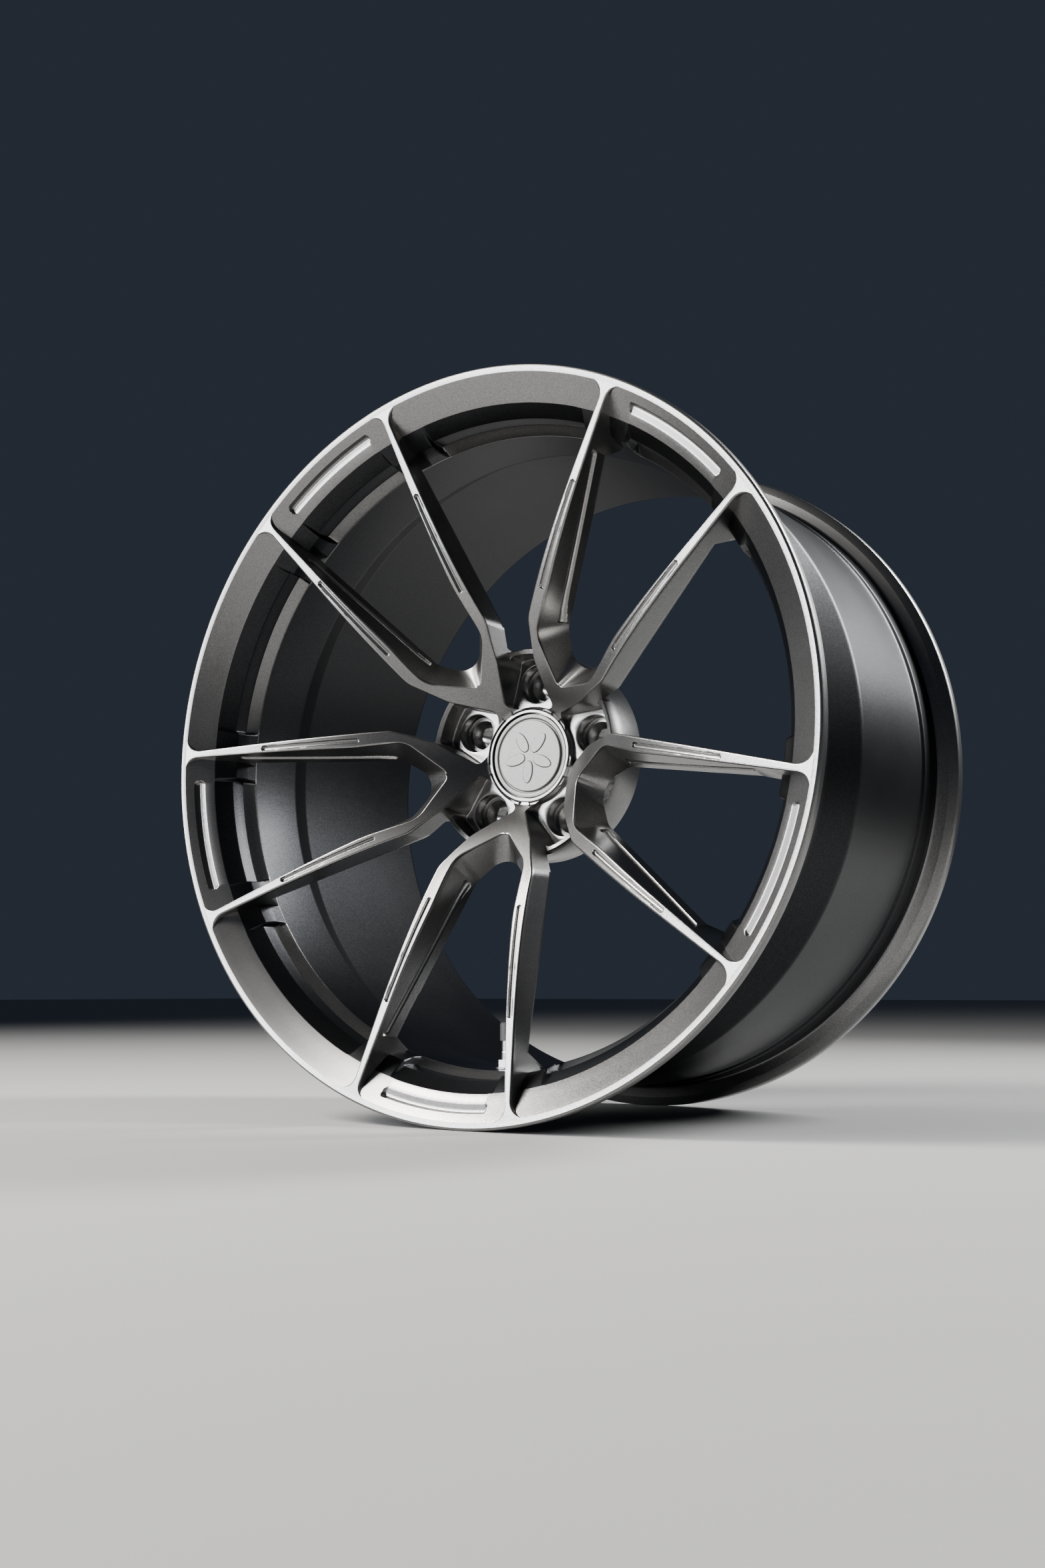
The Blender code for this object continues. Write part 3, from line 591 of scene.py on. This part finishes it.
def window_wall(inner, back_in, across, edge):
    """The wall that faces the window, from the back to the front edge. The columns gather at the groove,
    which pushes the wall in by a half ellipse of the distance from its middle line."""
    r = np.hypot(*inner.T)
    top = face_depth(r) + edge
    height = np.maximum(back_depth(np.hypot(*back_in.T)) - BACK_ROUND - top, THINNEST)
    groove_depth = np.interp(r, GROOVE_R, GROOVE_AT)
    centre = np.clip((groove_depth - top) / height, 0.3, 0.7)
    offsets = np.array([1.5, 1.15, 1.0, 0.9, 0.75, 0.5, 0.0, -0.5, -0.75, -0.9, -1.0, -1.15, -1.5])
    at_groove = centre[:, None] + offsets[None] * np.minimum(GROOVE_HALF / height, 0.17)[:, None]
    lower = 1.0 + (at_groove[:, :1] - 1.0) * np.linspace(0.0, 0.8, 5)[None]
    upper = at_groove[:, -1:] * np.linspace(0.8, 0.2, 4)[None]
    f = np.concatenate([lower, at_groove, upper], axis=1)
    plan = inner[:, None] + (back_in - inner)[:, None] * f[..., None]
    depth = top[:, None] + height[:, None] * f
    past = np.maximum(np.maximum(GROOVE_R[0] + GROOVE_HALF - r, r - GROOVE_R[1] + GROOVE_HALF), 0.0)
    away = np.hypot(past[:, None], depth - groove_depth[:, None])
    push = GROOVE_DEEP * np.sqrt(np.clip(1.0 - (away / GROOVE_HALF) ** 2, 0.0, 1.0))
    plan = plan + across[:, None] * push[..., None]
    return np.stack([plan[..., 0], depth, plan[..., 1]], axis=-1)


def front_face(inner, across, width, inner_edge, edge):
    """The rounded front edges and the front between them. The columns gather at the slot, which lowers
    the front by nearly a half ellipse of the distance from its middle line."""
    quarter = np.radians(np.linspace(0.0, 90.0, 6))
    round_in = inner_edge[:, None] * (1.0 - np.cos(quarter))[None]
    drop_in = inner_edge[:, None] * (1.0 - np.sin(quarter))[None]
    round_out = edge[:, None] * (1.0 - np.cos(quarter))[None, ::-1]
    drop_out = edge[:, None] * (1.0 - np.sin(quarter))[None, ::-1]
    direction = (SLOT_TO - SLOT_FROM) / np.linalg.norm(SLOT_TO - SLOT_FROM)
    normal = np.array([direction[1], -direction[0]])
    rate = across @ normal
    crossing = ((SLOT_FROM - inner) @ normal) / np.where(np.abs(rate) < 0.3, 0.3, rate)
    crossing = np.clip(crossing, 0.42 * width, 0.58 * width)
    offsets = np.array([-1.5, -1.15, -1.02, -0.92, -0.75, -0.5, -0.25, 0.0,
                        0.25, 0.5, 0.75, 0.92, 1.02, 1.15, 1.5])
    at_slot = crossing[:, None] + offsets[None] * np.minimum(SLOT_HALF, 0.2 * width)[:, None]
    near, far = inner_edge[:, None], width[:, None] - edge[:, None]
    before = near + (at_slot[:, :1] - near) * np.array([0.12, 0.35, 0.7])[None]
    after = far + (at_slot[:, -1:] - far) * np.array([0.7, 0.35, 0.12])[None]
    along = np.concatenate([round_in, before, at_slot, after, width[:, None] - round_out], axis=1)
    plan = inner[:, None] + across[:, None] * along[..., None]
    x, z = plan[..., 0], plan[..., 1]
    level = along.shape[1] - 2 * len(quarter)
    drop = np.concatenate([drop_in, np.zeros((len(inner), level)), drop_out], axis=1)
    away = distance_to_segment(x, z, SLOT_FROM, SLOT_TO) / SLOT_HALF
    hollow = SLOT_DEEP * np.sqrt(np.clip(1.0 - away ** 2, 0.0, 1.0)) ** 0.7
    return np.stack([x, face_depth(np.hypot(x, z)) + drop + hollow, z], axis=-1)


def outer_wall_and_back(outer, wall_foot, edge):
    """The outer wall straight down from the outer edge, and the back across to the foot of the other wall."""
    r = np.hypot(*outer.T)
    top = face_depth(r) + edge
    bottom = np.maximum(back_depth(r) - BACK_ROUND, top + THINNEST)
    g = np.linspace(0.0, 1.0, 10)[1:]
    plan = np.repeat(outer[:, None], len(g), axis=1)
    depth = top[:, None] + (bottom - top)[:, None] * g[None]
    out_wall = np.stack([plan[..., 0], depth, plan[..., 1]], axis=-1)
    h = np.concatenate([[0.03], np.linspace(0.1, 0.9, 7), [0.97]])
    plan = outer[:, None] + (wall_foot - outer)[:, None] * h[None, :, None]
    bulge = BACK_ROUND * np.clip(np.minimum(h, 1.0 - h) / 0.06, 0.0, 1.0) ** 0.5
    depth = back_depth(np.hypot(plan[..., 0], plan[..., 1])) - BACK_ROUND + bulge[None]
    return np.concatenate([out_wall, np.stack([plan[..., 0], depth, plan[..., 1]], axis=-1)], axis=1)


def spoke_half():
    """The right half of a spoke as a grid of (x, depth, z): a row for each station, round the section."""
    li, lo, lb = station_lengths()
    inner, outer, back_in = path_at(INNER_EDGE, li), path_at(OUTER_EDGE, lo), path_at(INNER_BACK, lb)
    r_in, r_out = np.hypot(*inner.T), np.hypot(*outer.T)
    width = np.linalg.norm(outer - inner, axis=1)
    across = (outer - inner) / width[:, None]
    tip = smooth_step((r_in - 236.0) / 24.0)
    back_in = back_in + (inner - back_in) * (0.75 * tip)[:, None]
    edge = np.minimum(EDGE_ROUND, 0.3 * np.maximum(back_depth(r_out) - face_depth(r_out), THINNEST))
    inner_edge = edge * smooth_step(li / 3.0 + 0.45) * (li > -1e-6)
    wall = window_wall(inner, back_in, across, inner_edge)
    front = front_face(inner, across, width, inner_edge, edge)
    return np.concatenate([wall, front, outer_wall_and_back(outer, wall[:, 0, [0, 2]], edge)], axis=1)


def make_spokes():
    """Both halves of the Y, closed at the trunk's end and at the tip, welded along the spoke's axis
    and turned to five places."""
    half = spoke_half()
    first, last = (half[i:i + 1].mean(axis=1, keepdims=True) for i in (0, len(half) - 1))
    first[..., 0] = 0.0
    half = np.concatenate([np.broadcast_to(first, half[:1].shape), half, np.broadcast_to(last, half[:1].shape)])
    right = to_world(half[..., 0], half[..., 1], half[..., 2])
    halves = [right, right * np.array([-1.0, 1.0, 1.0])]
    seam = [np.abs(points[..., 0]) < 1e-7 for points in halves]
    for k in range(SPOKES):
        grids = [(turned_about_axle(points, PHASE + PITCH * k), False, True) for points in halves]
        spoke = surface_object(f"arms_{k + 1}", grids, "wheel", SATIN, sharp=50.0, seam=seam)
        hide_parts(f"spoke_{k + 1}")


make_spokes()

# %% [markdown]
# ## The hub
#
# Between the spokes the hub is milled away in five pockets, and each pocket's floor carries a wheel
# nut's bore with a conical seat and a stud hole right through. Thin webs at the edge tie the spokes
# together. The surface is computed in five equal sectors: from the nut's axis, rays run to the border
# of the sector, and rings of points lie along them, out of the stud hole, up the seat, over the floor,
# up the pocket's wall and across the web.

# %% Hub
NUT_R, SEAT_R, STUD_R, SEAT_DEPTH = 14.9, 11.5, 7.2, 110.0
HUB_R, HUB_EDGE_R, HUB_INNER_R = 80.0, 79.2, 35.5   # the outer wall, its bevel's edge, the ring's place
WEB_IN_R = 76.3                                     # the webs' inner side
BACK_OUT_R, BACK_IN_R = 76.0, 38.7                  # the mounting face's two edges
POCKET_FILLET = 1.6
SECTOR_TURNS = [PHASE + PITCH / 2 + PITCH * k for k in range(SPOKES)]


def web_top(r):
    """Depth of the webs' front, on a cone just behind the spokes' backs."""
    return 68.6 - 0.358 * (r - 112.7)


def sector_border(ring_points=61, side_points=24):
    """Points round one sector, clockwise from its top middle, in a frame whose z runs through the nut,
    with each point's radius and its angle about the axle."""
    half = math.radians(180.0 / SPOKES)
    outer = np.stack([np.full(ring_points, HUB_EDGE_R), np.linspace(-half, half, ring_points)], axis=1)
    right = np.stack([np.linspace(HUB_EDGE_R, HUB_INNER_R, side_points + 2)[1:-1],
                      np.full(side_points, half)], axis=1)
    inner = np.stack([np.full(31, HUB_INNER_R), np.linspace(half, -half, 31)], axis=1)
    left = right[::-1] * np.array([1.0, -1.0])
    polar = np.concatenate([outer, right, inner, left])
    return polar[:, 0], polar[:, 1]


def pocket_outline():
    """The pocket's wall in plan: a leg of the spoke on each side and the web's inside between them."""
    half = math.radians(180.0 / SPOKES)
    leg = [(4.6, 36.2, 0), (4.9, 43.5, 5), (25.3, 63.75, 25)]
    right = [(z * math.sin(half) - x * math.cos(half), z * math.cos(half) + x * math.sin(half), r)
             for x, z, r in leg]
    corner = math.radians(13.1)
    right += [(WEB_IN_R * math.sin(a), WEB_IN_R * math.cos(a), r) for a, r in
              [(corner, 6.5), (math.radians(5.0), 0), (0.0, 0)]]
    path = rounded_path(right, 10)
    return np.concatenate([path, path[-2::-1] * np.array([-1.0, 1.0])])


def ray_lengths(origin, directions, path):
    """Distance from the origin along each direction to the nearest crossing with a path."""
    a, b = path[:-1], path[1:]
    e = b - a
    w = a - origin
    cross = directions[:, None, 0] * e[None, :, 1] - directions[:, None, 1] * e[None, :, 0]
    cross = np.where(np.abs(cross) < 1e-12, 1e-12, cross)
    t = (w[None, :, 0] * e[None, :, 1] - w[None, :, 1] * e[None, :, 0]) / cross
    s = (w[None, :, 0] * directions[:, None, 1] - w[None, :, 1] * directions[:, None, 0]) / cross
    t = np.where((s >= -1e-6) & (s <= 1 + 1e-6) & (t > 0), t, 1e9)
    return t.min(axis=1)


def hub_sector(radius, angle):
    """One sector as a grid of (x, depth, z). A row is a ring round the nut's axis, given as a distance along
    the rays and a depth, and the last rows run out from the stud hole over the mounting face."""
    nut = np.array([0.0, BOLT_CIRCLE_R])
    border = np.stack([radius * np.sin(angle), radius * np.cos(angle)], axis=1)
    reach = np.linalg.norm(border - nut, axis=1)
    direction = (border - nut) / reach[:, None]
    wall = np.minimum(ray_lengths(nut, direction, pocket_outline()), reach - 0.5)

    def top(distance):
        return web_top(np.hypot(*(nut + direction * distance[:, None]).T))

    one = np.ones_like(wall)
    rim = np.minimum(0.9, 0.4 * (reach - wall))
    rows = [(reach, top(reach)), (wall + 0.5 * (reach - wall), top(wall + 0.5 * (reach - wall)))]
    for a in np.radians([90.0, 60.0, 30.0, 0.0]):
        rows.append((wall + rim * (1.0 - math.cos(a)), top(wall + rim) + rim * (1.0 - math.sin(a))))
    rows.append((wall, one * 92.0))
    for a in np.radians([0.0, 22.0, 45.0, 67.0, 90.0]):
        rows.append((wall - POCKET_FILLET * (1.0 - math.cos(a)),
                     one * (POCKET_DEPTH - POCKET_FILLET * (1.0 - math.sin(a)))))
    lip = np.minimum(NUT_R + 0.7, wall - POCKET_FILLET - 0.05)
    for t in (0.35, 0.7):
        rows.append((wall - POCKET_FILLET + (lip - wall + POCKET_FILLET) * t, one * POCKET_DEPTH))
    rows += [(lip, one * POCKET_DEPTH), (NUT_R + 0.2 * (lip - NUT_R), one * (POCKET_DEPTH + 0.25))]
    rows += [(one * r, one * depth) for r, depth in (
        (NUT_R, POCKET_DEPTH + 0.8), (NUT_R, 104.0), (NUT_R, SEAT_DEPTH - 0.9),
        (NUT_R - 0.3, SEAT_DEPTH - 0.25), (NUT_R - 0.9, SEAT_DEPTH), (SEAT_R, SEAT_DEPTH),
        (SEAT_R - 0.25, SEAT_DEPTH + 0.3), (STUD_R + 0.2, 117.1), (STUD_R, 117.9), (STUD_R, 124.0),
        (STUD_R, FACE_DEPTH - 0.8), (STUD_R + 0.8, FACE_DEPTH))]
    grid = []
    for distance, depth in rows:
        p = nut + direction * distance[:, None]
        grid.append(np.stack([p[:, 0], depth, p[:, 1]], axis=1))
    back_r = BACK_IN_R + (radius - HUB_INNER_R) * (BACK_OUT_R - BACK_IN_R) / (HUB_EDGE_R - HUB_INNER_R)
    back = np.stack([back_r * np.sin(angle), one * FACE_DEPTH, back_r * np.cos(angle)], axis=1)
    return np.array(grid + [grid[-1] + (back - grid[-1]) * t for t in (0.12, 0.4, 0.7, 1.0)])


def make_hub():
    """Five sector grids, and the outer and inner turned walls between their fronts and their backs."""
    radius, angle = sector_border()
    sector = hub_sector(radius, angle)
    points = to_world(sector[..., 0], sector[..., 1], sector[..., 2])
    grids = [(turned_about_axle(points, turn), False, True) for turn in SECTOR_TURNS]

    def all_round(border_r):
        """The angles of the border's points on one radius, in all five sectors."""
        there = angle[np.isclose(radius, border_r)]
        turned = np.concatenate([there + math.radians(turn) for turn in SECTOR_TURNS])
        return np.unique(np.round(turned, 9))[:-1]

    top = web_top(HUB_EDGE_R)
    outside = np.array([(top, HUB_EDGE_R), (top + 0.15, HUB_EDGE_R + 0.45), (top + 0.8, HUB_R), (100.0, HUB_R),
                        (124.6, HUB_R), (125.35, 79.8), (129.9, 76.3), (FACE_DEPTH, BACK_OUT_R)])
    inside = np.array([(web_top(HUB_INNER_R), HUB_INNER_R), (99.5, HUB_INNER_R), (99.5, 30.9), (99.8, 30.6),
                       (112.5, 30.6), (112.5, 37.5), (129.15, 37.5), (FACE_DEPTH, BACK_IN_R)])
    grids.append((lathe(outside, all_round(HUB_EDGE_R)), True, False))
    grids.append((lathe(inside, all_round(HUB_INNER_R)), True, False))
    hub = surface_object("hub_disc", grids, "wheel", SATIN, weld=8e-6)
    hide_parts("hub")


def make_ring():
    """The raised ring round the cap, with a rounded top that the trunks run up to."""
    profile = closed_profile([(99.9, 33.2, 0.1), (93.4, 33.2, 0.35), (93.5, 35.3, 0.9), (95.3, 37.9, 1.2),
                              (97.6, 37.9, 0.9), (99.9, 39.3, 0.1)], 5)
    grid = lathe(profile, np.linspace(0.0, 2 * math.pi, 241)[:-1])
    ring = surface_object("cap_seat_ring", [(grid, True, True)], "wheel", SATIN)


make_hub()
make_ring()

# %% [markdown]
# ## The centre cap
#
# The cap is a moulded cup that snaps into the hub. Its rim stands proud round an inlaid disc, and the
# disc carries a plain raised mark of five petals, one for each spoke. A disc on a polar grid takes the
# petals as a displacement.

# %% Cap
DISC_R = 27.7
PETAL_R, PETAL_LONG, PETAL_WIDE = 12.5, 8.5, 4.2    # a petal's middle, and its half length and half width


def make_cap():
    """The cap's body as a lathe, and the disc as a height field: ellipses round five middles stand out by
    0.7 mm, and the rim turns down by a square."""
    angles = np.linspace(0.0, 2 * math.pi, 181)[:-1]
    body = rounded_path([
        (95.9, 0.0, 0), (95.9, 28.6, 0.4), (95.2, 29.1, 0.4), (95.0, 29.8, 0.3), (95.0, 32.0, 0.5),
        (95.6, 32.4, 0.4), (97.6, 32.4, 0.2), (97.6, 30.1, 0.3), (105.5, 30.1, 0.2), (105.5, 28.7, 0.1),
        (107.5, 28.7, 0.1), (107.5, 30.1, 0.2), (109.8, 30.1, 0.6), (110.5, 29.1, 0.3), (110.5, 26.4, 0.2),
        (98.4, 26.4, 0.8), (98.4, 0.0, 0)], 4)
    cap = surface_object("cap_cup", [(lathe(body, angles), True, False)], "cap", CAP_SATIN)
    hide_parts("centre_cap_body")

    angles = np.radians(np.arange(0.0, 360.0, 0.75))
    radii = np.concatenate([[0.0], np.linspace(1.0, 26.8, 96), [27.1, 27.4, 27.6, DISC_R]])
    r, a = np.meshgrid(radii, angles)
    phase = (a - math.radians(PHASE)) * SPOKES
    sideways = r * np.abs(np.sin((((phase + math.pi) % (2 * math.pi)) - math.pi) / SPOKES))
    petal = PETAL_WIDE * np.sqrt(np.clip(1.0 - ((r - PETAL_R) / PETAL_LONG) ** 2, 0.0, 1.0))
    raised = 0.7 * smooth_step((petal - sideways) / 0.6 + 0.5) * (np.abs(r - PETAL_R) < PETAL_LONG + 0.4)
    edge = 0.5 * np.clip((r - 26.8) / 0.9, 0.0, 1.0) ** 2
    top = to_world(r * np.sin(a), 94.3 - raised + edge, r * np.cos(a))
    side = lathe(np.array([(94.8, DISC_R), (95.6, DISC_R), (95.6, 0.0)]), angles)
    disc = surface_object("cap_disc", [(top, True, False), (side, True, False)], "cap", CAP_SATIN)
    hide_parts("centre_cap_disc")


make_cap()

# %% [markdown]
# ## The small pieces
#
# The rest of the solids keep their shape: the rings, the spring, the valve and what is inside it. Each
# gets its finish, and their round sides are shaded smooth.

# %% Kept solids
FINISH_OF = {
    "hub_centring_ring": NYLON, "cap_rubber_ring": RUBBER, "cap_spring_ring": STEEL, "valve_stem": BARE,
    "valve_grommet": RUBBER, "valve_washer": BARE, "valve_nut": BARE, "valve_core_body": BRASS,
    "valve_core_pin": BRASS, "valve_core_seal": RUBBER, "valve_core_spring": STEEL, "valve_cap": NYLON,
    "valve_cap_seal": RUBBER,
}
for name, material in FINISH_OF.items():
    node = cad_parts[name]
    node.data.materials.clear()
    node.data.materials.append(material)
    node.data.polygons.foreach_set("use_smooth", np.ones(len(node.data.polygons), bool))
    node.data.set_sharp_from_angle(angle=math.radians(40.0))
print("finished", len(FINISH_OF), "solids as they are")

# %% [markdown]
# ## Floor, light and camera
#
# The wheel stands on a plain pale floor under a dim surround. Its fronts face a large soft light from
# the front left, and the sides stay dark because little light comes from beside it. A narrow light
# behind the right shoulder draws the edge of the rear flange.

# %% Stage


def make_floor():
    """A wide level floor under the wheel."""
    level = -WHEEL_R * MM
    x, y = np.array([-14.0, 14.0]), np.array([-6.0, 16.0])
    grid = np.stack(np.broadcast_arrays(x[None, :], y[:, None], level), axis=-1)
    mesh = bpy.data.meshes.new("floor")
    mesh.from_pydata(grid.reshape(-1, 3).tolist(), [], grid_quads(2, 2).tolist())
    material, tree, shader = material_with("floor_paint")
    grain = group_node(tree, GRAIN, Coarse=2.0)
    tree.links.new(blend_colours(tree, grain.outputs["Patches"], (0.40, 0.40, 0.40), (0.43, 0.43, 0.425)),
                   shader.inputs["Base Color"])
    shader.inputs["Roughness"].default_value = 0.8
    mesh.materials.append(material)
    floor = bpy.data.objects.new("floor", mesh)
    bpy.context.scene.collection.objects.link(floor)


def add_light(name, place, aim, size, power, colour=(1.0, 1.0, 1.0)):
    """A soft rectangular light that faces a point."""
    light = bpy.data.lights.new(name, "AREA")
    light.shape = "RECTANGLE"
    light.size, light.size_y = size
    light.energy = power
    light.spread = math.radians(110.0)
    light.color = colour
    obj = bpy.data.objects.new(name, light)
    obj.location = place
    obj.rotation_euler = (Vector(aim) - Vector(place)).to_track_quat("-Z", "Y").to_euler()
    bpy.context.scene.collection.objects.link(obj)


def make_world():
    """A dim even surround."""
    world = bpy.data.worlds.new("surround")
    bpy.context.scene.world = world
    world.use_nodes = True
    back = world.node_tree.nodes["Background"]
    back.inputs["Color"].default_value = (0.55, 0.7, 1.0, 1.0)
    back.inputs["Strength"].default_value = 0.04


def make_camera():
    """The camera, with its axes given as vectors: right, and forward; up follows from them."""
    right, forward = Vector((0.84440, 0.53571, 0.0)), Vector((-0.53087, 0.83677, 0.13411))
    up = right.cross(forward)
    data = bpy.data.cameras.new("camera")
    data.sensor_fit = "VERTICAL"
    data.sensor_height = 36.0
    data.lens = 35.186
    camera = bpy.data.objects.new("camera", data)
    axes = Matrix((right, up, -forward)).transposed().to_4x4()
    camera.matrix_world = Matrix.Translation((0.6154, -1.0156, -0.1784)) @ axes
    bpy.context.scene.collection.objects.link(camera)
    bpy.context.scene.camera = camera


make_floor()
make_world()
add_light("key", (-1.5, -1.7, 1.9), (0.0, 0.0, 0.1), (1.1, 1.1), 78.0, (1.0, 0.96, 0.91))
add_light("left_strip", (-1.5, -2.3, 0.6), (0.0, 0.0, 0.1), (1.1, 1.4), 40.0, (0.96, 0.97, 1.0))
add_light("rear_edge", (1.2, 1.4, 1.3), (0.1, 0.1, 0.0), (0.5, 1.4), 35.0)
make_camera()
print("stage, lights and camera are in place")
